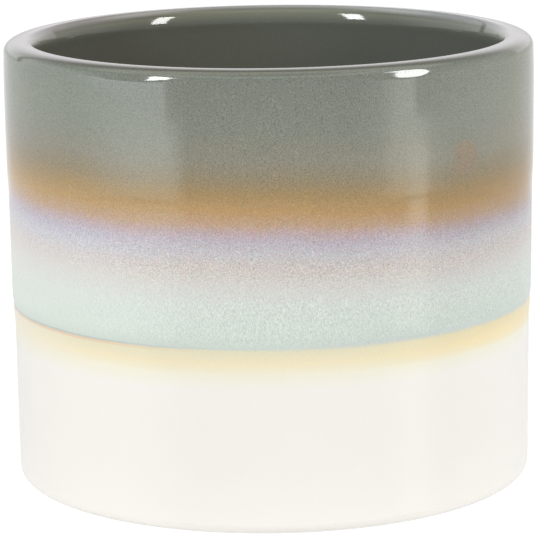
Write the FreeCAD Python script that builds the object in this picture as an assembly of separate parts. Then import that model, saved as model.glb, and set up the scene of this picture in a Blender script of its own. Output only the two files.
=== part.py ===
import FreeCAD, Part
import math
import os

# A round cachepot of glazed earthenware: one thick cast vessel with no drain hole,
# lined with a dark coat of glaze and dipped rim first into four coats outside.
# Each later dip stops higher than the one before, so every coat shows as a band of
# its own, and lies under the later coats from there up to the crest of the rim.
# Millimetres, Z up, origin on the shelf at the centre of the foot.

# The whole pot, over the glaze
outer_diameter = 150.0      # at the top of the wall, where the rim starts
base_diameter = 147.2       # where the wall would meet the shelf
height = 125.5
wall = 9.5
floor_thickness = 9.0

# Rim
crest_inset = 6.1           # from the outer face to the highest line of the rim
rim_outer_height = 2.5      # height of the outer rounding
rim_inner_height = 6.0      # height of the softer inner rounding
rim_fullness = 1.0          # how far both reach into their corners: an ellipse has 0.707
lean_height = 14.0          # the wall draws in a little over this height below the crest
lean_in = 0.25

# Foot and corners
base_corner_width = 2.4
base_corner_height = 2.8
foot_step = 0.5             # how far the bare foot ring stands below the glazed corner
foot_inset = 5.6            # from the outer face to the outside of the foot ring
foot_width = 5.0
foot_inner_edge = 0.8
recess_depth = 2.4
recess_fillet = 1.2
floor_fillet = 10.0

# Coats of glaze on the wall, in the order of the dips
liner_coat = 0.45
white_coat = 0.30
cream_coat = 0.25
mint_coat = 0.25
grey_coat = 0.30

# Where each dip stops, above the shelf
cream_line = 44.8
mint_line = 51.3
grey_line = 82.0
lap_bevel = 0.6             # height over which a coat swells to its full thickness
wiped_margin = 0.8          # bare clay left round the foot ring

full_turn = 360.0
quarter_weight = math.cos(math.pi / 4)

all_coats = white_coat + cream_coat + mint_coat + grey_coat
clay_height = height - liner_coat
clay_base_radius = base_diameter / 2 - white_coat
clay_top_radius = outer_diameter / 2 - all_coats
crest_radius = outer_diameter / 2 - crest_inset
shoulder_height = clay_height - rim_outer_height
foot_outer_radius = base_diameter / 2 - foot_inset
foot_inner_radius = foot_outer_radius - foot_width


def at(radius, z):
    return FreeCAD.Vector(radius, 0, z)


def line(start, end):
    return Part.LineSegment(start, end).toShape()


def rounded(start, corner, end, fullness=quarter_weight):
    # Leaves start and reaches end along the sides of the corner: a quarter ellipse, or fuller
    curve = Part.BezierCurve()
    curve.setPoles([start, corner, end])
    curve.setWeight(2, fullness)
    return curve.toShape()


def turned(edges):
    # One closed section, turned about the Z axis
    section = Part.Face(Part.Wire(edges))
    return section.revolve(at(0, 0), FreeCAD.Vector(0, 0, 1), full_turn)


def outer_radius(z):
    # Radius of the clay's outer face, which widens evenly from the base to the rim
    return clay_base_radius + (clay_top_radius - clay_base_radius) * z / clay_height


def inner_radius(z):
    # Radius of the clay's inner face: the wall is the same all the way down
    return outer_radius(z) + all_coats + liner_coat - wall


def crest(thickness):
    # Glaze drains off the rim, so the coats there share the thickness of the liner
    return at(crest_radius, clay_height + liner_coat * thickness / all_coats)


def outside(start_z, thickness, next_stop=None):
    # Outer face from a height on the wall up to the crest, over a given thickness of coats.
    # The wall has a joint line where the next coat stops, so both meet in the same face.
    # Above lean_start the wall curves inwards, and the rim goes on from there smoothly.
    lean_start = clay_height - lean_height
    lean_middle = (lean_start + shoulder_height) / 2
    wall_start = at(outer_radius(start_z) + thickness, start_z)
    lean_foot = at(outer_radius(lean_start) + thickness, lean_start)
    lean_mid = at(outer_radius(lean_middle) + thickness - lean_in / 4, lean_middle)
    shoulder = at(outer_radius(shoulder_height) + thickness - lean_in, shoulder_height)
    top = crest(thickness)
    lean_slope = 2 * lean_in / (lean_height - rim_outer_height)
    corner = at(shoulder.x - lean_slope * (top.z - shoulder.z), top.z)
    if next_stop is None:
        wall_lines = [line(wall_start, lean_foot)]
    else:
        joint = at(outer_radius(next_stop) + thickness, next_stop)
        wall_lines = [line(wall_start, joint), line(joint, lean_foot)]
    return wall_lines + [
        Part.Arc(lean_foot, lean_mid, shoulder).toShape(),
        rounded(shoulder, corner, top, rim_fullness),
    ]


def inside(thickness):
    # Inner face from the crest down the wall and across the floor to the axis
    top = at(crest_radius, clay_height + thickness)
    wall_top_z = clay_height - rim_inner_height
    floor_z = floor_thickness - liner_coat + thickness
    fillet_z = floor_thickness - liner_coat + floor_fillet
    wall_top = at(inner_radius(wall_top_z) - thickness, wall_top_z)
    wall_foot = at(inner_radius(fillet_z) - thickness, fillet_z)
    floor_edge = at(inner_radius(fillet_z) - floor_fillet, floor_z)
    return [
        rounded(top, at(wall_top.x, top.z), wall_top, rim_fullness),
        line(wall_top, wall_foot),
        rounded(wall_foot, at(wall_foot.x, floor_z), floor_edge),
        line(floor_edge, at(0, floor_z)),
    ]


def base_corner(thickness):
    # Underside of the wall, from the foot ring out and round the corner to the outer face
    under = foot_step - thickness
    wall_z = foot_step + base_corner_height
    corner_start = at(clay_base_radius - base_corner_width, under)
    wall_foot = at(outer_radius(wall_z) + thickness, wall_z)
    return corner_start, rounded(corner_start, at(wall_foot.x, under), wall_foot), wall_z


def foot_ring():
    # The bare ring that the pot stands on, from the middle of the recess outwards
    recess_edge = at(foot_inner_radius - recess_fillet, recess_depth)
    recess_side = at(foot_inner_radius, recess_depth - recess_fillet)
    ring_side = at(foot_inner_radius, foot_inner_edge)
    ring_start = at(foot_inner_radius + foot_inner_edge, 0)
    ring_end = at(foot_outer_radius - foot_step, 0)
    ring_root = at(foot_outer_radius, foot_step)
    return [
        line(at(0, recess_depth), recess_edge),
        rounded(recess_edge, at(foot_inner_radius, recess_depth), recess_side),
        line(recess_side, ring_side),
        rounded(ring_side, at(foot_inner_radius, 0), ring_start),
        line(ring_start, ring_end),
        rounded(ring_end, at(foot_outer_radius, 0), ring_root),
    ], ring_root


def clay_body():
    ring, ring_root = foot_ring()
    corner_start, corner, wall_z = base_corner(0)
    edges = ring + [line(ring_root, corner_start), corner]
    edges += outside(wall_z, 0) + inside(0)
    floor_centre = at(0, floor_thickness - liner_coat)
    edges.append(line(floor_centre, at(0, recess_depth)))
    return turned(edges)


def liner_glaze():
    floor_z = floor_thickness - liner_coat
    free_face = inside(liner_coat)
    clay_face = inside(0)
    rim_joint = line(crest(0), crest(all_coats))
    axis_edge = line(at(0, floor_z + liner_coat), at(0, floor_z))
    return turned([rim_joint] + free_face + [axis_edge] + clay_face[::-1])


def white_glaze():
    # The base coat starts under the corner, just outside the wiped foot ring
    wiped = at(foot_outer_radius + wiped_margin, foot_step)
    clay_start, clay_corner, wall_z = base_corner(0)
    coat_start, coat_corner, wall_z = base_corner(white_coat)
    edges = [line(wiped, clay_start), clay_corner] + outside(wall_z, 0)
    edges.append(line(crest(0), crest(white_coat)))
    edges += outside(wall_z, white_coat, cream_line)[::-1]
    edges += [coat_corner, line(coat_start, wiped)]
    return turned(edges)


def dipped_coat(stop_z, under, thickness, next_stop):
    # A later coat: it thins out at its stop line and ends at the crest of the rim
    full_z = stop_z + lap_bevel
    stop = at(outer_radius(stop_z) + under, stop_z)
    full = at(outer_radius(full_z) + under + thickness, full_z)
    edges = outside(stop_z, under)
    edges.append(line(crest(under), crest(under + thickness)))
    edges += outside(full_z, under + thickness, next_stop)[::-1] + [line(full, stop)]
    return turned(edges)


def write(name, shape):
    shape.exportStep("parts/" + name + ".step")
    print(name, "valid", shape.isValid(), "solids", len(shape.Solids), "cm3", shape.Volume / 1000)


os.makedirs("parts", exist_ok=True)
write("clay_body", clay_body())
write("liner_glaze", liner_glaze())
write("white_glaze", white_glaze())

coats_so_far = white_coat
for coat_name, coat_line, coat_thickness, next_line in (
    ("cream_glaze", cream_line, cream_coat, mint_line),
    ("mint_glaze", mint_line, mint_coat, grey_line),
    ("grey_glaze", grey_line, grey_coat, None),
):
    write(coat_name, dipped_coat(coat_line, coats_so_far, coat_thickness, next_line))
    coats_so_far += coat_thickness
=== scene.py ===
import bpy
import bmesh
import math
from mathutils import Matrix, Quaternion, Vector, noise


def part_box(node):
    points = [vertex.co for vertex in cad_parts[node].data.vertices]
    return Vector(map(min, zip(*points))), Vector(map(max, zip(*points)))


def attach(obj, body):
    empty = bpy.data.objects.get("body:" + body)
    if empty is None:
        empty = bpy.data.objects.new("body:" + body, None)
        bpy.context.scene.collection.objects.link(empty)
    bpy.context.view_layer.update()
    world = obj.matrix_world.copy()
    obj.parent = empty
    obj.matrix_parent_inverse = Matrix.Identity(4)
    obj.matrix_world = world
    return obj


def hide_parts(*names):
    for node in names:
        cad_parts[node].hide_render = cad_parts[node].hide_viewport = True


# A round cachepot of glazed earthenware: a thick clay vessel, a dark liner inside,
# and four coats of reactive glaze dipped rim first outside. Metres, Z up, the camera
# looks along +Y.

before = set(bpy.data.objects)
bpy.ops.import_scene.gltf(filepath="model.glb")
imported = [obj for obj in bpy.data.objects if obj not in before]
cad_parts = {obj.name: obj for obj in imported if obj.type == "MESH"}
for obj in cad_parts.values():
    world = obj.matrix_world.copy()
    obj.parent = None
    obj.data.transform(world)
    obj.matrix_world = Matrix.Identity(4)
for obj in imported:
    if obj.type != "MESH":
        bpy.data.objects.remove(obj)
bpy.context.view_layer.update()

mm = 0.001

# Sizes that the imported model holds
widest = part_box("grey_glaze")[1].x
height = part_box("liner_glaze")[1].z
crest_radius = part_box("liner_glaze")[1].x
clay_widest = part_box("clay_body")[1].x
clay_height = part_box("clay_body")[1].z
white_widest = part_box("white_glaze")[1].x
cream_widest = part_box("cream_glaze")[1].x
mint_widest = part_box("mint_glaze")[1].x
cream_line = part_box("cream_glaze")[0].z
mint_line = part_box("mint_glaze")[0].z
grey_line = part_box("grey_glaze")[0].z
liner_floor_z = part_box("liner_glaze")[0].z

liner_coat = height - clay_height
white_coat = white_widest - clay_widest
cream_coat = cream_widest - white_widest
mint_coat = mint_widest - cream_widest
grey_coat = widest - mint_widest

# Sizes of the vessel that its outline needs besides
wall = 9.5 * mm
flare = 0.7 * mm                # how much wider the clay is at the rim than at the base
rim_outer_height = 2.5 * mm
rim_inner_height = 6.0 * mm
rim_fullness = 1.0              # how far both reach into their corners: an ellipse has 0.707
lean_height = 14.0 * mm
lean_in = 0.25 * mm
base_corner_width = 2.4 * mm
base_corner_height = 2.8 * mm
foot_step = 0.5 * mm
foot_inset = 5.3 * mm
foot_width = 5.0 * mm
foot_edge = 0.8 * mm
recess_depth = 2.4 * mm
recess_fillet = 1.2 * mm
floor_fillet = 10.0 * mm
wiped_margin = 0.8 * mm

# How softly each coat swells from nothing above its stop line
cream_feather = 5.0 * mm
mint_feather = 2.5 * mm
grey_feather = 9.0 * mm

# Fineness of the meshes
turn_steps = 320
wall_spacing = 1.6 * mm
floor_spacing = 6.4 * mm
rim_spacing = 0.3 * mm
rim_rows = 8
round_steps = 16
merge_distance = 0.001 * mm
crease = math.radians(40)

# Unevenness of the cast and dipped surface: how deep, how broad, and where the ripple starts
slump = 0.07 * mm
slump_size = 60.0 * mm
ripple = 0.035 * mm
ripple_size = 11.0 * mm
ripple_place = Vector((7.0, 3.0, 5.0))
ripple_start = 98.0 * mm
ripple_full = 116.0 * mm

# Where the outer edge of the rim is worn to a soft facet: its ends in degrees to the right of the
# front, how far it fades out past each, how much lower it starts there, and how round it is
right_worn = (30.5, 31.5, 20.0, 6.5, 1.6 * mm, 7.0 * mm)
left_worn = (-34.0, -28.0, 7.0, 18.0, 1.2 * mm, 4.8 * mm)
worn_start = 2.2 * mm
worn_slope = 0.16
worn_blend = 0.06 * mm
worn_reach = 3.0 * mm           # how far below the shoulder a facet can start

coat_lines = (0.0, cream_line, mint_line, grey_line)
coat_feathers = (0.0, cream_feather, mint_feather, grey_feather)
coat_thicknesses = (white_coat, cream_coat, mint_coat, grey_coat)
all_coats = sum(coat_thicknesses)

lean_start = clay_height - lean_height
shoulder_height = clay_height - rim_outer_height
clay_base_radius = clay_widest - flare * lean_start / clay_height
foot_outer_radius = clay_base_radius - foot_inset
foot_inner_radius = foot_outer_radius - foot_width


def smooth(share):
    share = min(1.0, max(0.0, share))
    return share * share * (3 - 2 * share)


def clay_radius(z):
    """Outer radius of the clay, with the small lean inwards below the rim."""
    radius = clay_base_radius + flare * z / clay_height
    lean_share = (z - lean_start) / (shoulder_height - lean_start)
    return radius - lean_in * max(0.0, lean_share) ** 2


def face_radius(z, coats):
    """Outer radius at a height over the first few coats."""
    radius = clay_radius(z)
    for k in range(coats):
        feather = coat_feathers[k]
        swell = smooth((z - coat_lines[k]) / feather) if feather else 1.0
        radius += coat_thicknesses[k] * swell
    return radius


def quarter(start, corner, end, fullness=math.cos(math.pi / 4)):
    """Points after start, along the sides of the corner to end: a quarter ellipse, or fuller."""
    points = []
    for k in range(1, round_steps + 1):
        t = k / round_steps
        shares = ((1 - t) ** 2, 2 * fullness * t * (1 - t), t ** 2)
        whole = sum(shares)
        r = sum(share * point[0] for share, point in zip(shares, (start, corner, end))) / whole
        z = sum(share * point[1] for share, point in zip(shares, (start, corner, end))) / whole
        points.append((r, z))
    return points


def run(start, end, spacing):
    """Points of a straight run after start, evenly spaced up to end."""
    length = math.dist(start, end)
    count = max(1, round(length / spacing))
    return [
        (start[0] + (end[0] - start[0]) * k / count, start[1] + (end[1] - start[1]) * k / count)
        for k in range(1, count + 1)
    ]


def crest_point(coats):
    """Top of the rim over the first few coats, which share the liner's thickness there."""
    share = sum(coat_thicknesses[:coats]) / all_coats
    return crest_radius, clay_height + liner_coat * share


def outer_face(start_z, coats):
    """Outer face from a height on the wall, up and round the rim to its crest."""
    plain_end = shoulder_height - rim_spacing * rim_rows
    levels = [start_z] + [z for r, z in run((0.0, start_z), (0.0, plain_end), wall_spacing)]
    levels += [z for r, z in run((0.0, plain_end), (0.0, shoulder_height), rim_spacing)]
    points = [(face_radius(z, coats), z) for z in levels]
    shoulder = points[-1]
    top = crest_point(coats)
    lean_slope = 2 * lean_in / (lean_height - rim_outer_height)
    corner = (shoulder[0] - lean_slope * (top[1] - shoulder[1]), top[1])
    return points + quarter(shoulder, corner, top, rim_fullness)


def inner_face(thickness):
    """Inner face from the crest of the rim down the wall and over the floor to the axis."""
    top = (crest_radius, clay_height + thickness)
    wall_top_z = clay_height - rim_inner_height
    fillet_z = liner_floor_z + floor_fillet
    inside = clay_base_radius + all_coats + liner_coat - wall - thickness
    wall_top = (inside + flare * wall_top_z / clay_height, wall_top_z)
    wall_foot = (inside + flare * fillet_z / clay_height, fillet_z)
    floor_z = liner_floor_z + thickness
    floor_edge = (wall_foot[0] + thickness - floor_fillet, floor_z)
    points = [top] + quarter(top, (wall_top[0], top[1]), wall_top, rim_fullness)
    points += run(wall_top, wall_foot, wall_spacing)
    points += quarter(wall_foot, (wall_foot[0], floor_z), floor_edge)
    return points + run(floor_edge, (0.0, floor_z), floor_spacing)


def base_corner(coats):
    """Round lower corner of the wall, from its underside out to the wall."""
    under = foot_step - sum(coat_thicknesses[:coats])
    wall_z = foot_step + base_corner_height
    start = (clay_base_radius - base_corner_width, under)
    wall_foot = (face_radius(wall_z, coats), wall_z)
    return [start] + quarter(start, (wall_foot[0], under), wall_foot)


def foot_ring():
    """Underside from the axis out over the shallow recess and the foot ring."""
    recess_edge = (foot_inner_radius - recess_fillet, recess_depth)
    recess_side = (foot_inner_radius, recess_depth - recess_fillet)
    ring_side = (foot_inner_radius, foot_edge)
    ring_start = (foot_inner_radius + foot_edge, 0.0)
    ring_end = (foot_outer_radius - foot_step, 0.0)
    ring_root = (foot_outer_radius, foot_step)
    points = [(0.0, recess_depth)] + run((0.0, recess_depth), recess_edge, floor_spacing)
    points += quarter(recess_edge, (foot_inner_radius, recess_depth), recess_side)
    points += [ring_side] + quarter(ring_side, (foot_inner_radius, 0.0), ring_start)
    return points + [ring_end] + quarter(ring_end, (foot_outer_radius, 0.0), ring_root)


def worn(x, y, z):
    """How far the soft facets cut into the outer edge of the rim."""
    turn = math.degrees(math.atan2(x, -y))
    left_end, right_end, to_left, to_right, lower, curve = right_worn if turn > 0 else left_worn
    past = max((left_end - turn) / to_left, (turn - right_end) / to_right, 0.0)
    start = height - worn_start - lower * smooth(1 - past)
    above = max(0.0, z - start)
    facet = worn_slope * above + above ** 2 / (2 * curve)
    lift = min(1.0, max(0.0, (z - shoulder_height) / rim_outer_height))
    rounding = (widest - crest_radius) * (1 - math.sqrt(1 - lift)) ** 2
    deep = facet - rounding
    return (deep + math.sqrt(deep ** 2 + worn_blend ** 2) - worn_blend) / 2 if above else 0.0


def unevenness(x, y, z):
    """How far the surface lies inside the true round, from none to the named depths."""
    turn = math.atan2(y, x)
    place = Vector((math.cos(turn) * widest, math.sin(turn) * widest, z))
    slow = noise.noise(place / slump_size)
    quick = noise.noise(place / ripple_size + ripple_place)
    near_rim = smooth((z - ripple_start) / (ripple_full - ripple_start))
    dent = slump * (slow - 1) / 2 + ripple * near_rim * (quick - 1) / 2
    if math.hypot(x, y) > crest_radius and z > shoulder_height - worn_reach:
        dent -= max(0.0, worn(x, y, z))
    return dent


def turned(name, outline, node, material):
    """A closed outline of radii and heights, turned about Z into one piece.

    A quarter is spun and mirrored twice, and then the whole is made uneven.
    """
    bm = bmesh.new()
    ring = [bm.verts.new((r, 0.0, z)) for r, z in outline]
    edges = [bm.edges.new(pair) for pair in zip(ring, ring[1:] + ring[:1])]
    bmesh.ops.spin(
        bm, geom=ring + edges, cent=(0, 0, 0), axis=(0, 0, 1), angle=math.tau / 4,
        steps=turn_steps // 4, use_merge=False, use_duplicate=False,
    )
    for axis in ("X", "Y"):
        whole = bm.verts[:] + bm.edges[:] + bm.faces[:]
        bmesh.ops.mirror(bm, geom=whole, axis=axis, merge_dist=merge_distance)
    bmesh.ops.remove_doubles(bm, verts=bm.verts, dist=merge_distance)
    bmesh.ops.recalc_face_normals(bm, faces=bm.faces)
    for vert in bm.verts:
        radius = math.hypot(vert.co.x, vert.co.y)
        if radius > foot_inner_radius / 2:
            grown = 1 + unevenness(*vert.co) / radius
            vert.co.x *= grown
            vert.co.y *= grown
    for edge in bm.edges:
        edge.smooth = edge.calc_face_angle(0.0) < crease
    for face in bm.faces:
        face.smooth = True
    mesh = bpy.data.meshes.new(name)
    bm.to_mesh(mesh)
    bm.free()
    piece = bpy.data.objects.new(name, mesh)
    bpy.context.scene.collection.objects.link(piece)
    mesh.materials.append(material)
    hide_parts(node)
    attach(piece, "root")
    return piece


# Nodes

def shade(red, green, blue):
    """A colour written as screen values of 0 to 255, as the linear colour that nodes take."""
    linear = []
    for value in (red, green, blue):
        share = value / 255
        linear.append(share / 12.92 if share <= 0.04045 else ((share + 0.055) / 1.055) ** 2.4)
    return (*linear, 1.0)


class Sheet:
    """A node tree with short ways to add and join its nodes."""

    def __init__(self, tree):
        self.tree = tree

    def add(self, kind, inputs=None, **settings):
        node = self.tree.nodes.new(kind)
        for setting, value in settings.items():
            setattr(node, setting, value)
        for socket, value in (inputs or {}).items():
            self.feed(node.inputs[socket], value)
        return node

    def feed(self, socket, value):
        if isinstance(value, bpy.types.NodeSocket):
            self.tree.links.new(value, socket)
        else:
            socket.default_value = value

    def math(self, operation, *values):
        inputs = dict(enumerate(values))
        return self.add("ShaderNodeMath", inputs, operation=operation).outputs[0]

    def ease(self, value, low, high):
        """Smoothly from 0 at low to 1 at high."""
        inputs = {"Value": value, "From Min": low, "From Max": high}
        return self.add("ShaderNodeMapRange", inputs, interpolation_type="SMOOTHSTEP").outputs[0]

    def span(self, value, places):
        """0, rising to 1 and back to 0: the places where it starts, is full, fades and ends."""
        starts, full, fades, ends = places
        return self.product(self.ease(value, starts, full), self.ease(value, ends, fades))

    def product(self, *values):
        whole = values[0]
        for value in values[1:]:
            whole = self.math("MULTIPLY", whole, value)
        return whole

    def mix(self, share, first, second, blend="MIX"):
        node = self.add("ShaderNodeMix", data_type="RGBA", blend_type=blend)
        self.feed(node.inputs[0], share)
        self.feed(node.inputs[6], first)
        self.feed(node.inputs[7], second)
        return node.outputs[2]

    def ramp(self, share, stops):
        """A colour for a share from 0 to 1, between stops of share and colour."""
        node = self.add("ShaderNodeValToRGB", {0: share})
        made = node.color_ramp.elements
        for k, (position, colour) in enumerate(stops):
            stop = made[k] if k < 2 else made.new(position)
            stop.position = position
            stop.color = colour
        return node.outputs[0]

    def noise(self, vector, scale, detail=2.0, roughness=0.5):
        inputs = {"Vector": vector, "Scale": scale, "Detail": detail, "Roughness": roughness}
        return self.add("ShaderNodeTexNoise", inputs)

    def mix_shaders(self, share, first, second):
        inputs = {0: share, 1: first.outputs[0], 2: second.outputs[0]}
        return self.add("ShaderNodeMixShader", inputs)

    def bump(self, height_socket, strength, distance):
        inputs = {"Height": height_socket, "Strength": strength, "Distance": distance}
        return self.add("ShaderNodeBump", inputs).outputs[0]

    def stretched(self, vector, x, y, z):
        inputs = {0: vector, 1: (x, y, z)}
        return self.add("ShaderNodeVectorMath", inputs, operation="MULTIPLY").outputs[0]


def node_group(name, inputs, outputs):
    """A shader node group with named sockets: returns it, its sheet, its input and output nodes."""
    group = bpy.data.node_groups.new(name, "ShaderNodeTree")
    for socket, kind in inputs.items():
        group.interface.new_socket(name=socket, in_out="INPUT", socket_type="NodeSocket" + kind)
    for socket, kind in outputs.items():
        group.interface.new_socket(name=socket, in_out="OUTPUT", socket_type="NodeSocket" + kind)
    sheet = Sheet(group)
    return group, sheet, sheet.add("NodeGroupInput"), sheet.add("NodeGroupOutput")


# Glaze colours up the outside, each at the height in millimetres where it is purest
lower_bands = (
    (40.0, shade(243, 240, 234)),     # warm white
    (44.0, shade(242, 238, 219)),     # the cream coat thins out
    (47.2, shade(242, 231, 196)),     # butter yellow
    (50.5, shade(229, 222, 191)),     # olive cream under the mint lap
)
upper_bands = (
    (50.8, shade(204, 215, 206)),     # mint
    (56.0, shade(210, 220, 211)),     # clear mint
    (63.0, shade(212, 219, 212)),     # pale mint
    (68.0, shade(211, 210, 205)),     # the mint turns grey
    (73.0, shade(205, 197, 192)),     # rosy grey
    (77.0, shade(194, 191, 194)),     # blue grey
    (80.0, shade(186, 178, 187)),     # lavender
    (82.2, shade(186, 166, 168)),     # mauve
    (84.5, shade(186, 156, 129)),     # tan
    (88.0, shade(180, 145, 94)),      # ochre
    (92.0, shade(162, 135, 90)),      # dark ochre
    (96.0, shade(145, 132, 105)),     # olive
    (101.0, shade(138, 135, 120)),    # grey olive
    (110.0, shade(127, 131, 120)),    # grey green
    (122.0, shade(120, 125, 116)),    # deep grey green
)
bands_low = 36.0
bands_high = 126.0

# Where the glaze drains off the rim
crest_shade = shade(104, 104, 94)
crest_heights = (124.2, 125.3)

# How strong the speckle is, by height in millimetres
speckle_bands = (
    (44.0, 0.02), (51.0, 0.1), (54.0, 0.45), (66.0, 0.55), (73.0, 0.9),
    (80.0, 0.8), (86.0, 0.55), (96.0, 0.75), (120.0, 0.85),
)

# Below, a pair of numbers is where something is nothing and where it is full, and four are
# where it starts, is full, fades and ends. Heights are in millimetres, and sides go from -1 at
# the left edge to 1 at the right.

# The dip lines tilt from a level ring and wander, in millimetres, low down and high up
tilt_turns_at = (56.0, 72.0)
lower_tilt = -0.4
upper_tilt = 3.0
lower_wander = 0.35
upper_wander = 1.6
slow_scale = 0.022
runs_scale = 0.35
runs_upright = 0.12
runs_share = 0.7
drift_middle = 0.85
left_drop = 1.3
left_drop_sides = (-0.2, -0.55)
front_lift = 0.65
front_lift_sides = (-0.3, 0.05, 0.15, 0.4)
right_lift = 1.2
right_lift_sides = (0.7, 0.95)

# The lap where the mint coat starts: crisp on the left, soft on the right. Along it a painted
# shadow, a brown stain and a painted soft shadow. The spans are in millimetres from the lap line
lap_height = 51.2
lap_crisp = 0.12
lap_softer = 0.8
lap_soft_sides = (-0.6, 0.5)
lap_crisp_sides = (-0.1, -0.75)
lap_soft_shadow_sides = (-0.1, 0.4)
lap_shadows_and_stain = (
    ((-0.1, 0.1, 0.15, 0.75), 0.42, lap_crisp_sides, shade(150, 146, 160)),     # shadow
    ((-0.95, -0.3, -0.15, 0.1), 0.45, lap_crisp_sides, shade(222, 170, 120)),   # brown stain
    ((-0.7, 0.2, 0.5, 2.2), 0.25, lap_soft_shadow_sides, shade(196, 201, 209)),        # painted soft shadow
)

# Darker towards the right side, and lighter towards the left
rightward_heights = (50.0, 55.0, 88.0, 100.0)
rightward_darkening = -0.085

# Towards both side edges, painted shade darkens the ochre and a painted sheen pales the grey
edge_sides = (0.35, 0.8)
ochre_heights = (76.0, 83.0, 97.0, 104.0)
ochre_edge_shade = (0.90, 0.89, 0.84, 1.0)
ochre_left_share = 0.45
ochre_right_sides = (-0.2, 0.2)
grey_heights = (103.0, 116.0)
grey_edge_sheen = (1.11, 1.10, 1.07, 1.0)

# Tints of one side alone, and a painted shade at the far right: heights, sides and factors of the
# colour
cream_heights = (43.5, 46.0, 50.8, 51.5)
above_all = (200.0, 300.0)
side_tints_and_shade = (
    (cream_heights, (0.2, 0.9), (1.02, 0.96, 0.82, 1.0)),                   # golden cream
    ((100.0, 110.0, *above_all), (-0.35, -0.7), (0.98, 1.03, 1.03, 1.0)),   # greener grey
    ((68.0, 75.0, 88.0, 98.0), (-0.4, -0.7), (1.0, 1.03, 1.08, 1.0)),       # bluer lavender
    ((79.0, 84.0, *above_all), (0.78, 0.9), (0.96, 0.94, 0.87, 1.0)),       # painted shade at the far right, where the wall turns away
)
faint_cream = shade(243, 237, 223)
faint_cream_share = 0.5
faint_cream_sides = (-0.6, -1.0)

# A brown stain in the grey glaze, right of the front
stain_place = (52.5, -53.0, 98.6)
stain_reach = 5.8
stain_edge = 2.0
stain_raggedness = 4.0
stain_scale = 0.3
stain_share = 0.7
stain_shade = shade(146, 126, 102)

# The surface: how much less speckle on the smooth lower left, how rough, and how wavy
smooth_left_sides = (-0.1, -0.8)
smooth_left_heights = (78.0, 64.0)
smooth_left_loss = -0.65
rough_heights = (76.0, 88.0)
rough_below = 0.26
rough_change = -0.18
streak_heights = (72.0, 62.0)
hue_heights = (64.0, 72.0, 84.0, 94.0)
hue_least = 0.06
hue_more = 0.13
wave_scale = 0.16
wave_strength = 0.1
wave_depth = 0.1 * mm

# The speckle: how far its streaks are drawn out, and how much coarser its tint is
streak_upright = 0.5
tint_coarseness = 0.8


def band_stops(bands):
    """Stops of a ramp over the height share from bands_low to bands_high."""
    return [((level - bands_low) / (bands_high - bands_low), tone) for level, tone in bands]


def grey_level(amount):
    return (amount, amount, amount, 1.0)


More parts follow.
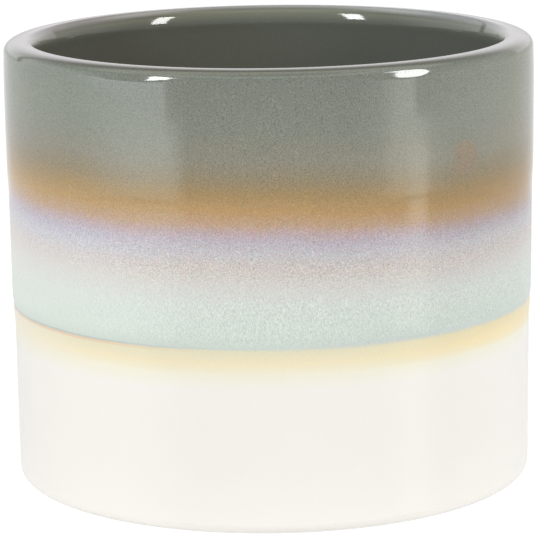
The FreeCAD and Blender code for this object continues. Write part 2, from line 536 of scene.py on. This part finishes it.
def glaze_bands_group():
    """Colour, speckle, streakiness and roughness of the layered glazes at a place on the pot."""
    outputs = {
        "Colour": "Color", "Speckle": "Float", "Streaks": "Float",
        "Hues": "Float", "Roughness": "Float", "Height": "Float",
    }
    group, sheet, given, made = node_group("Dipped glaze bands", {"Vector": "Vector"}, outputs)
    place = sheet.stretched(given.outputs[0], 1 / mm, 1 / mm, 1 / mm)
    axes = sheet.add("ShaderNodeSeparateXYZ", {0: place})
    x, z = axes.outputs[0], axes.outputs[2]
    side = sheet.math("DIVIDE", x, widest / mm)
    upper = sheet.ease(z, *tilt_turns_at)

    # Height above the shelf, as if the dip lines were level
    tilt = sheet.math("MULTIPLY_ADD", upper, upper_tilt - lower_tilt, lower_tilt)
    tilted = sheet.math("MULTIPLY_ADD", side, tilt, z)
    slow = sheet.noise(place, slow_scale, 2.0).outputs[0]
    drawn_out = sheet.stretched(place, 1.0, 1.0, runs_upright)
    runs = sheet.noise(drawn_out, runs_scale, 3.0, 0.6).outputs[0]
    wander = sheet.math("MULTIPLY_ADD", upper, upper_wander - lower_wander, lower_wander)
    drift = sheet.math("ADD", slow, sheet.math("MULTIPLY", runs, runs_share))
    drift = sheet.math("SUBTRACT", drift, drift_middle)
    dip = sheet.math("MULTIPLY_ADD", drift, sheet.math("MULTIPLY", wander, 2.0), tilted)
    shift = sheet.math("MULTIPLY", sheet.ease(side, *left_drop_sides), left_drop)
    shift = sheet.math("MULTIPLY_ADD", sheet.span(side, front_lift_sides), -front_lift, shift)
    shift = sheet.math("MULTIPLY_ADD", sheet.ease(side, *right_lift_sides), -right_lift, shift)
    dip = sheet.math("MULTIPLY_ADD", shift, upper, dip)

    share = sheet.math("SUBTRACT", dip, bands_low)
    share = sheet.math("DIVIDE", share, bands_high - bands_low)
    below = sheet.ramp(share, band_stops(lower_bands))
    above = sheet.ramp(share, band_stops(upper_bands))
    softness = sheet.ease(side, *lap_soft_sides)
    softness = sheet.math("MULTIPLY_ADD", softness, lap_softer, lap_crisp)
    off_lap = sheet.math("SUBTRACT", dip, lap_height)
    over_lap = sheet.math("DIVIDE", off_lap, softness)
    colour = sheet.mix(sheet.ease(over_lap, -1.0, 1.0), below, above)

    rightward = sheet.product(sheet.span(dip, rightward_heights), side, rightward_darkening)
    colour = sheet.mix(1.0, colour, sheet.math("ADD", rightward, 1.0), "MULTIPLY")
    # Painted shade on the ochre and a painted sheen on the grey, towards both side edges
    edge = sheet.ease(sheet.math("ABSOLUTE", side), *edge_sides)
    one_side = sheet.ease(side, *ochre_right_sides)
    one_side = sheet.math("MULTIPLY_ADD", one_side, 1 - ochre_left_share, ochre_left_share)
    edge_shade = sheet.product(sheet.span(dip, ochre_heights), one_side, edge)
    colour = sheet.mix(edge_shade, colour, ochre_edge_shade, "MULTIPLY")
    edge_sheen = sheet.product(sheet.ease(dip, *grey_heights), edge)
    colour = sheet.mix(edge_sheen, colour, grey_edge_sheen, "MULTIPLY")
    # One side's glaze tints, and the painted shade at the far right
    for heights, sides, tint in side_tints_and_shade:
        tinted = sheet.product(sheet.span(dip, heights), sheet.ease(side, *sides))
        colour = sheet.mix(tinted, colour, tint, "MULTIPLY")
    faint = sheet.product(sheet.ease(side, *faint_cream_sides), faint_cream_share)
    faint = sheet.product(sheet.span(dip, cream_heights), faint)
    colour = sheet.mix(faint, colour, faint_cream)
    # Painted shadows along the lap, and its brown stain
    for reach, most, sides, tone in lap_shadows_and_stain:
        seen = sheet.product(sheet.span(off_lap, reach), sheet.ease(side, *sides), most)
        colour = sheet.mix(seen, colour, tone)

    ragged = sheet.noise(place, stain_scale, 2.0).outputs[0]
    points = {0: place, 1: stain_place}
    away = sheet.add("ShaderNodeVectorMath", points, operation="DISTANCE").outputs["Value"]
    away = sheet.math("MULTIPLY_ADD", ragged, stain_raggedness, away)
    stained = sheet.product(sheet.ease(away, stain_reach + stain_edge, stain_reach), stain_share)
    colour = sheet.mix(stained, colour, stain_shade)
    colour = sheet.mix(sheet.ease(z, *crest_heights), colour, crest_shade)

    speckle = [(level, grey_level(amount)) for level, amount in speckle_bands]
    speckle = sheet.ramp(share, band_stops(speckle))
    smoother = sheet.ease(side, *smooth_left_sides)
    smoother = sheet.product(smoother, sheet.ease(dip, *smooth_left_heights))
    smoother = sheet.math("MULTIPLY_ADD", smoother, smooth_left_loss, 1.0)
    rough = sheet.ease(dip, *rough_heights)
    rough = sheet.math("MULTIPLY_ADD", rough, rough_change, rough_below)
    hues = sheet.math("MULTIPLY_ADD", sheet.span(dip, hue_heights), hue_more, hue_least)
    sheet.feed(made.inputs["Colour"], colour)
    sheet.feed(made.inputs["Speckle"], sheet.product(speckle, smoother))
    sheet.feed(made.inputs["Streaks"], sheet.ease(dip, *streak_heights))
    sheet.feed(made.inputs["Hues"], hues)
    sheet.feed(made.inputs["Roughness"], rough)
    sheet.feed(made.inputs["Height"], sheet.noise(place, wave_scale, 1.0).outputs[0])
    return group


def grain_group():
    """Fine speckle of the glaze: even grains, upright streaks, and a weak tint of many hues."""
    group, sheet, given, made = node_group(
        "Glaze grain", {"Vector": "Vector", "Grains per mm": "Float"},
        {"Light": "Float", "Streaks": "Float", "Tint": "Color"},
    )
    place = given.outputs[0]
    scale = sheet.math("MULTIPLY", given.outputs[1], 1 / mm)
    coarser = sheet.math("MULTIPLY", scale, tint_coarseness)
    upright = sheet.stretched(place, 1.0, 1.0, streak_upright)
    sheet.feed(made.inputs["Light"], sheet.noise(place, scale, 0.0).outputs[0])
    sheet.feed(made.inputs["Streaks"], sheet.noise(upright, scale, 0.0).outputs[0])
    sheet.feed(made.inputs["Tint"], sheet.noise(place, coarser, 0.0).outputs[1])
    return group


bands = glaze_bands_group()
grain = grain_group()

# How fine the speckle is, in grains to the millimetre, and how the glazes and the clay shine
coat_grains = 3.2
liner_grains = 1.6
clay_grains = 0.9
glaze_ior = 1.5
liner_roughness = 0.07
clay_roughness = 0.85


def new_material(name):
    material = bpy.data.materials.new(name)
    material.use_nodes = True
    material.node_tree.nodes.clear()
    sheet = Sheet(material.node_tree)
    place = sheet.add("ShaderNodeTexCoord").outputs["Object"]
    surface = sheet.add("ShaderNodeBsdfPrincipled")
    output = sheet.add("ShaderNodeOutputMaterial")
    sheet.feed(output.inputs[0], surface.outputs[0])
    return material, sheet, place, surface


def grains(sheet, place, per_mm):
    """The outputs of the speckle, so many grains to the millimetre."""
    inputs = {"Vector": place, "Grains per mm": per_mm}
    return sheet.add("ShaderNodeGroup", inputs, node_tree=grain).outputs


def dipped_glaze(name):
    """One of the outer coats: the layered bands with speckle, under gloss."""
    material, sheet, place, surface = new_material(name)
    layers = sheet.add("ShaderNodeGroup", {"Vector": place}, node_tree=bands).outputs
    speckle = grains(sheet, place, coat_grains)
    either = {0: layers["Streaks"], 2: speckle["Light"], 3: speckle["Streaks"]}
    light = sheet.add("ShaderNodeMix", either).outputs[0]
    light = sheet.math("SUBTRACT", light, 0.5)
    bright = sheet.math("MULTIPLY_ADD", light, layers["Speckle"], 1.0)
    toned = sheet.mix(1.0, layers["Colour"], bright, "MULTIPLY")
    tinted = sheet.mix(layers["Hues"], toned, speckle["Tint"], "OVERLAY")
    sheet.feed(surface.inputs["Base Color"], tinted)
    sheet.feed(surface.inputs["Roughness"], layers["Roughness"])
    sheet.feed(surface.inputs["Normal"], sheet.bump(layers["Height"], wave_strength, wave_depth))
    surface.inputs["IOR"].default_value = glaze_ior
    return material


# The liner from its deep part up over the inside of the rim, by height in millimetres
liner_bands = (
    (0.0, shade(100, 101, 92)),
    (117.5, shade(98, 99, 91)),
    (120.0, shade(94, 96, 88)),
    (121.5, shade(103, 106, 97)),
    (123.2, shade(120, 122, 107)),
    (123.9, shade(131, 132, 117)),
    (124.6, shade(115, 116, 103)),
    (125.3, crest_shade),
)

# Painted reflection at the back of the rim: a pale sheen painted on the liner just inside the crest
back_sheen_bands = (
    (123.8, shade(127, 128, 114)),
    (124.2, shade(113, 114, 101)),
    (124.5, shade(114, 115, 103)),
    (124.8, shade(125, 125, 117)),
    (125.1, shade(143, 142, 138)),
    (125.4, shade(160, 158, 157)),
)
back_sheen_heights = (123.6, 124.0)
back_sheen_depths = (2 * mm, 26 * mm)
back_sheen_widening = 0.85                # how much lower the painted sheen reaches at its sides
back_sheen_widening_sides = (18 * mm, 48 * mm)

# The liner's tint from left to right, and how cloudy and speckled it is: change and least
liner_left = (0.98, 0.96, 0.92, 1.0)
liner_right = (1.12, 1.19, 1.21, 1.0)
liner_tint_sides = (-60 * mm, 60 * mm)
liner_cloud_scale = 40.0
liner_clouds = (0.1, 0.95)
liner_speckle = (0.12, 0.94)

clay_light = shade(226, 218, 203)
clay_dark = shade(214, 203, 184)
clay_cloud_scale = 60.0
clay_speckle = (0.35, 0.82)
clay_tooth = 0.4
clay_tooth_depth = 0.05 * mm


def liner_stops(liner_tones):
    return [(level / bands_high, tone) for level, tone in liner_tones]


def liner_glaze():
    """The dark gloss inside."""
    material, sheet, place, surface = new_material("liner_gloss")
    speckle = grains(sheet, place, liner_grains)
    clouds = sheet.noise(place, liner_cloud_scale, 3.0).outputs[0]
    x, y, z = sheet.add("ShaderNodeSeparateXYZ", {0: place}).outputs
    level = sheet.math("DIVIDE", z, bands_high * mm)
    tone = sheet.ramp(level, liner_stops(liner_bands))
    # Painted reflection: the liner is painted pale just inside the crest at the back
    aside = sheet.ease(sheet.math("ABSOLUTE", x), *back_sheen_widening_sides)
    raised = sheet.math("MULTIPLY_ADD", aside, back_sheen_widening / bands_high, level)
    sheen_tone = sheet.ramp(raised, liner_stops(back_sheen_bands))
    back_low, back_high = (height_mm / bands_high for height_mm in back_sheen_heights)
    painted_sheen = sheet.product(sheet.ease(y, *back_sheen_depths), sheet.ease(raised, back_low, back_high))
    tone = sheet.mix(painted_sheen, tone, sheen_tone)
    side_tint = sheet.mix(sheet.ease(x, *liner_tint_sides), liner_left, liner_right)
    clouded = sheet.math("MULTIPLY_ADD", clouds, *liner_clouds)
    tone = sheet.mix(1.0, tone, side_tint, "MULTIPLY")
    tone = sheet.mix(1.0, tone, clouded, "MULTIPLY")
    bright = sheet.math("MULTIPLY_ADD", speckle["Light"], *liner_speckle)
    sheet.feed(surface.inputs["Base Color"], sheet.mix(1.0, tone, bright, "MULTIPLY"))
    surface.inputs["Roughness"].default_value = liner_roughness
    surface.inputs["IOR"].default_value = glaze_ior
    return material


def fired_clay():
    """The bare clay under the pot."""
    material, sheet, place, surface = new_material("fired_clay")
    speckle = grains(sheet, place, clay_grains)
    clouds = sheet.noise(place, clay_cloud_scale, 3.0).outputs[0]
    tone = sheet.mix(clouds, clay_light, clay_dark)
    bright = sheet.math("MULTIPLY_ADD", speckle["Light"], *clay_speckle)
    sheet.feed(surface.inputs["Base Color"], sheet.mix(1.0, tone, bright, "MULTIPLY"))
    surface.inputs["Roughness"].default_value = clay_roughness
    toothed = sheet.bump(speckle["Light"], clay_tooth, clay_tooth_depth)
    sheet.feed(surface.inputs["Normal"], toothed)
    return material


def clay_vessel():
    outline = foot_ring() + base_corner(0) + outer_face(foot_step + base_corner_height, 0)[1:]
    outline += inner_face(0.0)[1:]
    turned("clay_vessel", outline, "clay_body", fired_clay())


def liner_coat_piece():
    outline = inner_face(liner_coat) + inner_face(0.0)[::-1]
    turned("liner_coat", outline, "liner_glaze", liner_glaze())


def base_coat():
    wiped = (foot_outer_radius + wiped_margin, foot_step)
    wall_z = foot_step + base_corner_height
    outline = [wiped] + base_corner(0) + outer_face(wall_z, 0)[1:]
    outline += outer_face(wall_z, 1)[:0:-1] + base_corner(1)[::-1]
    turned("white_coat", outline, "white_glaze", dipped_glaze("white_glaze"))


def dipped_coat(name, node, coats):
    stop = coat_lines[coats - 1]
    outline = outer_face(stop, coats - 1) + outer_face(stop, coats)[:0:-1]
    turned(name, outline, node, dipped_glaze(node))


clay_vessel()
liner_coat_piece()
base_coat()
dipped_coat("cream_coat", "cream_glaze", 2)
dipped_coat("mint_coat", "mint_glaze", 3)
dipped_coat("grey_coat", "grey_glaze", 4)


# Camera

camera_distance = 0.865
camera_elevation = math.radians(11.5)
camera_roll = math.radians(-0.816)
focal_length = 201.04
sensor_width = 36.0
nearest_seen = 0.01
farthest_seen = 50.0
middle = Vector((0.0, 0.0, height / 2))
aim_left = 0.44 * mm
aim_low = 5.22 * mm


def camera():
    away = Vector((0.0, -math.cos(camera_elevation), math.sin(camera_elevation)))
    upward = Vector((0.0, math.sin(camera_elevation), math.cos(camera_elevation)))
    place = middle + away * camera_distance
    aim = middle - Vector((1.0, 0.0, 0.0)) * aim_left - upward * aim_low
    data = bpy.data.cameras.new("camera")
    data.sensor_width = sensor_width
    data.lens = focal_length
    data.clip_start = nearest_seen
    data.clip_end = farthest_seen
    eye = bpy.data.objects.new("camera", data)
    eye.rotation_mode = "QUATERNION"
    eye.location = place
    facing = (aim - place).to_track_quat("-Z", "Y")
    eye.rotation_quaternion = facing @ Quaternion((0.0, 0.0, 1.0), camera_roll)
    bpy.context.scene.collection.objects.link(eye)
    bpy.context.scene.camera = eye


# Studio

softbox_distance = 0.95

# Name, azimuth, elevation, width and height in degrees, and strength of each soft light
softboxes = (
    ("right_softbox", 60.5, 26.0, 9.0, 25.0, 18.4),
    ("left_softbox", -48.0, 27.0, 9.0, 22.0, 21.4),
)

# How bright gloss sees the table, and the room above it, by degrees to the right of the camera
table_ring = (
    (-180, 0.95), (-150, 0.97), (-120, 1.1), (-84, 1.35), (-50, 1.2), (0, 1.15),
    (50, 1.15), (84, 1.2), (120, 1.05), (150, 0.95), (180, 0.95),
)
room_ring = (
    (-180, 0.7), (-150, 0.9), (-130, 1.25), (-90, 1.25), (-66, 0.45), (0, 0.42),
    (75, 0.5), (95, 0.9), (130, 0.85), (180, 0.7),
)
ring_full = 3.0                     # the strength that a tone of 1 stands for
white = (1.0, 1.0, 1.0, 1.0)

# The pale board behind the pot, an arch above the table, in degrees, its strength low down and
# higher up, and the dark gap round it
board_half_width = 42.0
board_wider_right = 4.5
board_top = 30.0
board_edge = (1.03, 0.99)
board_tone = (0.99, 0.97, 1.0, 1.0)
board_glow = 0.29
board_more = 0.18
board_more_rises = (0.0, 10.0)
board_less = -0.3
board_less_rises = (14.0, 32.0)
gap_edge = (1.14, 1.1)
gap_right = 0.15
gap_left = 0.85
gap_tone = (0.07, 0.07, 0.07, 1.0)
across_front = (-20.0, 20.0)

# The room fades upwards, and a ceiling shows high up
room_fade_rises = (38.0, 22.0)
room_high = 0.3
ceiling_rises = (42.0, 54.0, 62.0, 80.0)
ceiling_tone = (0.42, 0.42, 0.35, 1.0)
table_edge = (-0.5, 0.3)

# Pale streaks seen in the table, by turn and rise in degrees, in pairs and fours like those of
# the glazes. Below streak_softens they move and their edges soften, and nearer_rises are what
# only the swelling edges of the coats mirror
streak_softens = (-8.9, -9.5)
nearer_rises = (-12.9, -13.8, -17.5, -19.5)

left_starts = (-95.0, -52.0)
left_crisp_end = (-43.5, -45.0)
left_soft_end = (-34.0, -45.0)
left_rises = (-12.8, -10.2)
left_nearer = 0.45
left_high = 0.88
left_tone = (1.02, 1.1, 1.08, 1.0)

right_starts = (45.0, 58.0)
right_ends = (65.4, 63.4)
right_moves = -5.5
right_rises = (-13.5, -11.0)
right_tone = (0.98, 0.95, 0.86, 1.0)

core_turns = (58.0, 65.0, 68.0, 74.0)
core_starts = (-9.3, -10.2)
core_rises = (-13.0, -11.2)
core_nearer = 0.8
core_tone = (1.35, 1.32, 1.2, 1.0)

wide_turns = (58.0, 66.0, 72.0, 86.0)
wide_rises = (-12.2, -10.8)
wide_share = 0.42

# The table is darker in front of the camera, and pale at its far edge on the left
front_turns = (46.0, 34.0)
front_rises = (-12.2, -10.6)
front_darkening = -0.42
band_starts = (-100.0, -70.0)
band_rises = (-6.5, -4.0)
band_tone = (1.05, 1.1, 1.16, 1.0)

# How bright the world is to matt surfaces and to the camera
even_light = 0.475
camera_white = 1.0

# The floor: its size, its tone to light and to the camera, and the extra light it throws on the
# foot of the pot, by distance
floor_radius = 3.0
floor_corners = 64
floor_tone = (0.8, 0.8, 0.8, 1.0)
floor_glow = 1.2
floor_glow_share = 0.8
floor_near = (108 * mm, 78 * mm)
floor_near_share = 0.36


def softbox(name, azimuth, elevation, width, tall, strength):
    """A soft light: azimuth from the camera to the right, and elevation, in degrees."""
    turn = math.radians(azimuth)
    rise = math.radians(elevation)
    level = math.cos(rise)
    toward = Vector((math.sin(turn) * level, -math.cos(turn) * level, math.sin(rise)))
    data = bpy.data.lights.new(name, "AREA")
    data.shape = "RECTANGLE"
    data.size = 2 * softbox_distance * math.tan(math.radians(width) / 2)
    data.size_y = 2 * softbox_distance * math.tan(math.radians(tall) / 2)
    data.energy = strength * math.pi * data.size * data.size_y
    lamp = bpy.data.objects.new(name, data)
    lamp.rotation_mode = "QUATERNION"
    lamp.location = middle + toward * softbox_distance
    lamp.rotation_quaternion = toward.to_track_quat("Z", "Y")
    bpy.context.scene.collection.objects.link(lamp)


def ring_stops(ring):
    stops = []
    for turn, strength in ring:
        stops.append((turn / 360 + 0.5, grey_level(strength / ring_full)))
    return stops


def table_seen(sheet, turn, rise, around):
    """The table as gloss sees it, with its pale streaks."""
    lower = sheet.ease(rise, *streak_softens)
    nearer = sheet.span(rise, nearer_rises)

    moved = sheet.math("MULTIPLY_ADD", lower, right_moves, turn)
    right = sheet.product(sheet.ease(turn, *right_starts), sheet.ease(moved, *right_ends))
    right = sheet.product(right, sheet.ease(rise, *right_rises))

    crisp_end = sheet.ease(turn, *left_crisp_end)
    softer = sheet.math("SUBTRACT", sheet.ease(turn, *left_soft_end), crisp_end)
    left_end = sheet.math("MULTIPLY_ADD", lower, softer, crisp_end)
    left_reach = sheet.ease(rise, *left_rises)
    left_reach = sheet.math("MULTIPLY_ADD", nearer, left_nearer, left_reach)
    left_strength = sheet.math("MULTIPLY_ADD", lower, 1 - left_high, left_high)
    left = sheet.product(sheet.ease(turn, *left_starts), left_end, left_reach, left_strength)

    core_reach = sheet.ease(rise, *core_rises)
    core_reach = sheet.math("MULTIPLY_ADD", nearer, core_nearer, core_reach)
    core = sheet.product(sheet.span(turn, core_turns), sheet.ease(rise, *core_starts), core_reach)

    wide = sheet.product(lower, wide_share)
    wide = sheet.product(sheet.span(turn, wide_turns), wide, sheet.ease(rise, *wide_rises))

    front = sheet.ease(sheet.math("ABSOLUTE", turn), *front_turns)
    front = sheet.product(front, sheet.ease(rise, *front_rises))
    darker = sheet.math("MULTIPLY_ADD", front, front_darkening, 1.0)

    band = sheet.product(sheet.ease(turn, *band_starts), crisp_end)
    band = sheet.product(band, sheet.ease(rise, *band_rises))

    table = sheet.ramp(around, ring_stops(table_ring))
    table = sheet.mix(1.0, table, darker, "MULTIPLY")
    table = sheet.mix(wide, table, right_tone)
    table = sheet.mix(right, table, right_tone)
    table = sheet.mix(core, table, core_tone)
    table = sheet.mix(left, table, left_tone)
    return sheet.mix(band, table, band_tone)


def room_seen(sheet, turn, rise, around):
    """The room above the table as gloss sees it, with the board behind the pot."""
    room = sheet.ramp(around, ring_stops(room_ring))
    lowness = sheet.ease(rise, *room_fade_rises)
    lowness = sheet.math("MULTIPLY_ADD", lowness, 1 - room_high, room_high)
    room = sheet.mix(1.0, room, lowness, "MULTIPLY")
    room = sheet.mix(sheet.span(rise, ceiling_rises), room, ceiling_tone)

    from_behind = sheet.math("SUBTRACT", 180.0, sheet.math("ABSOLUTE", turn))
    to_right = sheet.ease(turn, *across_front)
    half_width = sheet.math("MULTIPLY_ADD", to_right, board_wider_right, board_half_width)
    wide = sheet.math("POWER", sheet.math("DIVIDE", from_behind, half_width), 2.0)
    tall = sheet.math("POWER", sheet.math("DIVIDE", rise, board_top), 2.0)
    outward = sheet.math("SQRT", sheet.math("ADD", wide, tall))
    glow = sheet.ease(rise, *board_more_rises)
    glow = sheet.math("MULTIPLY_ADD", glow, board_more, board_glow)
    glow = sheet.math("MULTIPLY_ADD", sheet.ease(rise, *board_less_rises), board_less, glow)
    board = sheet.mix(1.0, board_tone, glow, "MULTIPLY")
    gap = sheet.ease(turn, *across_front[::-1])
    gap = sheet.math("MULTIPLY_ADD", gap, gap_left, gap_right)
    gap = sheet.product(sheet.ease(outward, *gap_edge), gap)
    room = sheet.mix(gap, room, gap_tone)
    return sheet.mix(sheet.ease(outward, *board_edge), room, board)


def studio_world():
    """White to the camera, even to matt surfaces, and a room with a table to gloss."""
    world = bpy.data.worlds.new("studio")
    world.use_nodes = True
    world.node_tree.nodes.clear()
    sheet = Sheet(world.node_tree)
    direction = sheet.add("ShaderNodeTexCoord").outputs["Generated"]
    x, y, z = sheet.add("ShaderNodeSeparateXYZ", {0: direction}).outputs
    rise = sheet.math("DEGREES", sheet.math("ARCSINE", z))
    ahead = sheet.math("MULTIPLY", y, -1.0)
    turn = sheet.math("DEGREES", sheet.math("ARCTAN2", x, ahead))
    around = sheet.math("MULTIPLY_ADD", turn, 1 / 360, 0.5)
    table = table_seen(sheet, turn, rise, around)
    room = room_seen(sheet, turn, rise, around)
    mirrored = sheet.mix(sheet.ease(rise, *table_edge), table, room)

    path = sheet.add("ShaderNodeLightPath").outputs
    gloss = sheet.add("ShaderNodeBackground", {"Color": mirrored, "Strength": ring_full})
    even = sheet.add("ShaderNodeBackground", {"Color": white, "Strength": even_light})
    plain = sheet.add("ShaderNodeBackground", {"Color": white, "Strength": camera_white})
    lit = sheet.mix_shaders(path["Is Glossy Ray"], even, gloss)
    seen = sheet.mix_shaders(path["Is Camera Ray"], lit, plain)
    output = sheet.add("ShaderNodeOutputWorld")
    sheet.feed(output.inputs[0], seen.outputs[0])
    bpy.context.scene.world = world


def floor():
    """A pale floor: nearly white to the camera, with the pot's shadow, and clear from below."""
    bm = bmesh.new()
    bmesh.ops.create_circle(bm, cap_ends=True, segments=floor_corners, radius=floor_radius)
    mesh = bpy.data.meshes.new("floor")
    bm.to_mesh(mesh)
    bm.free()
    ground = bpy.data.objects.new("floor", mesh)
    bpy.context.scene.collection.objects.link(ground)
    material = bpy.data.materials.new("pale_floor")
    material.use_nodes = True
    material.node_tree.nodes.clear()
    sheet = Sheet(material.node_tree)
    matt = sheet.add("ShaderNodeBsdfDiffuse", {"Color": floor_tone})
    glow = sheet.add("ShaderNodeEmission", {"Color": white, "Strength": floor_glow})
    path = sheet.add("ShaderNodeLightPath").outputs
    place = sheet.add("ShaderNodeTexCoord").outputs["Object"]
    away = sheet.add("ShaderNodeVectorMath", {0: place}, operation="LENGTH").outputs["Value"]
    near = sheet.product(sheet.ease(away, *floor_near), floor_near_share, path["Is Diffuse Ray"])
    share = sheet.math("MULTIPLY_ADD", path["Is Camera Ray"], floor_glow_share, near)
    mixed = sheet.mix_shaders(share, matt, glow)
    under = sheet.add("ShaderNodeNewGeometry").outputs["Backfacing"]
    through = sheet.product(under, path["Is Camera Ray"])
    clear = sheet.add("ShaderNodeBsdfTransparent")
    one_sided = sheet.mix_shaders(through, mixed, clear)
    output = sheet.add("ShaderNodeOutputMaterial")
    sheet.feed(output.inputs[0], one_sided.outputs[0])
    mesh.materials.append(material)
    ground.visible_glossy = False


camera()
for lamp_row in softboxes:
    softbox(*lamp_row)
studio_world()
floor()

bpy.context.scene.view_settings.view_transform = "Standard"
